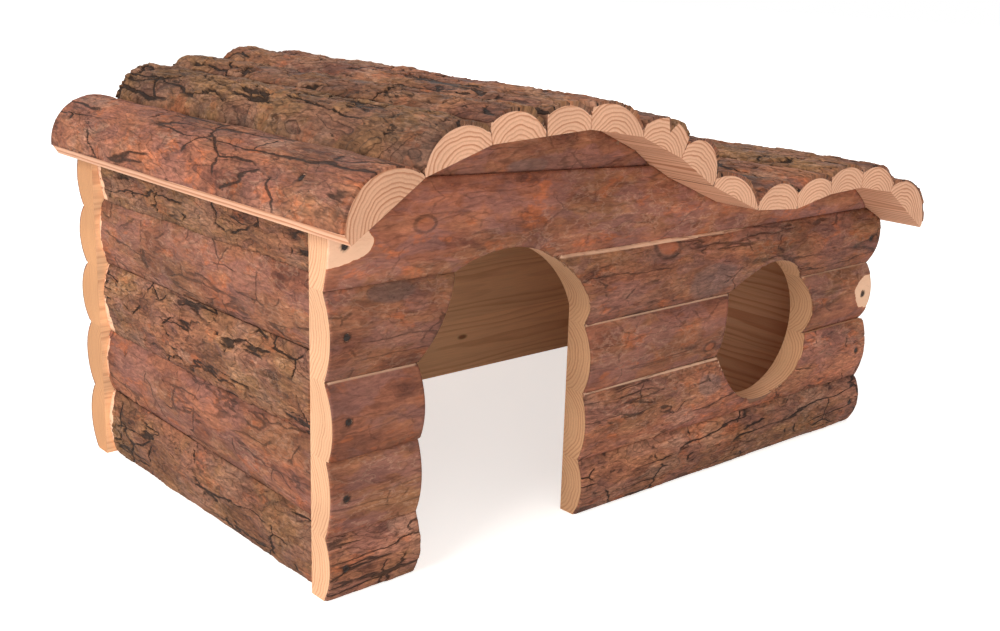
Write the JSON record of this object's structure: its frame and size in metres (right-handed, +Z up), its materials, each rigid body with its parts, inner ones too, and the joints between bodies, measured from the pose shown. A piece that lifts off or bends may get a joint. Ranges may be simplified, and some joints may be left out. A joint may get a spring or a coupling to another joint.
{
  "type": "rabbit house",
  "caption": "Small-pet house nailed from bark-on half-round wood slabs, with an arched doorway, a round window and a waved slat roof.",
  "frame": {"origin": "on the ground, under the middle of the roof's plan", "axes": "+X along the front wall from the doorway to the window, +Y from the front to the back, +Z up"},
  "size_m": [0.4148, 0.28, 0.2242],
  "materials": {
    "wall_slab": "rough reddish bark outside, pale sawn softwood inside and at the ends",
    "roof_slab": "fissured grey-brown bark on top, pale sawn softwood below and at the ends",
    "nail": "bright steel wire nails, driven flush with the bark"
  },
  "bodies": {
    "root": {"front_plank_e_left": "wall_slab", "front_plank_e_right": "wall_slab", "front_plank_d_left": "wall_slab", "front_plank_d_right": "wall_slab", "front_plank_c_left": "wall_slab", "front_plank_c_middle": "wall_slab", "front_plank_c_right": "wall_slab", "front_plank_b_left": "wall_slab", "front_plank_b_right": "wall_slab", "front_lintel_plank": "wall_slab", "front_cap_plank": "wall_slab", "back_plank_1": "wall_slab", "back_plank_2": "wall_slab", "back_plank_3": "wall_slab", "back_plank_4": "wall_slab", "back_plank_5": "wall_slab", "back_plank_6": "wall_slab", "left_plank_1": "wall_slab", "left_plank_2": "wall_slab", "left_plank_3": "wall_slab", "left_plank_4": "wall_slab", "left_plank_5": "wall_slab", "right_plank_1": "wall_slab", "right_plank_2": "wall_slab", "right_plank_3": "wall_slab", "right_plank_4": "wall_slab", "roof_slat_01": "roof_slab", "roof_slat_02": "roof_slab", "roof_slat_03": "roof_slab", "roof_slat_04": "roof_slab", "roof_slat_05": "roof_slab", "roof_slat_06": "roof_slab", "roof_slat_07": "roof_slab", "roof_slat_08": "roof_slab", "roof_slat_09": "roof_slab", "roof_slat_10": "roof_slab", "roof_slat_11": "roof_slab", "roof_slat_12": "roof_slab", "roof_slat_13": "roof_slab", "front_left_corner_nails": "nail", "front_right_corner_nails": "nail", "back_left_corner_nails": "nail", "back_right_corner_nails": "nail", "front_roof_nails": "nail", "back_roof_nails": "nail"}
  },
  "joints": []
}
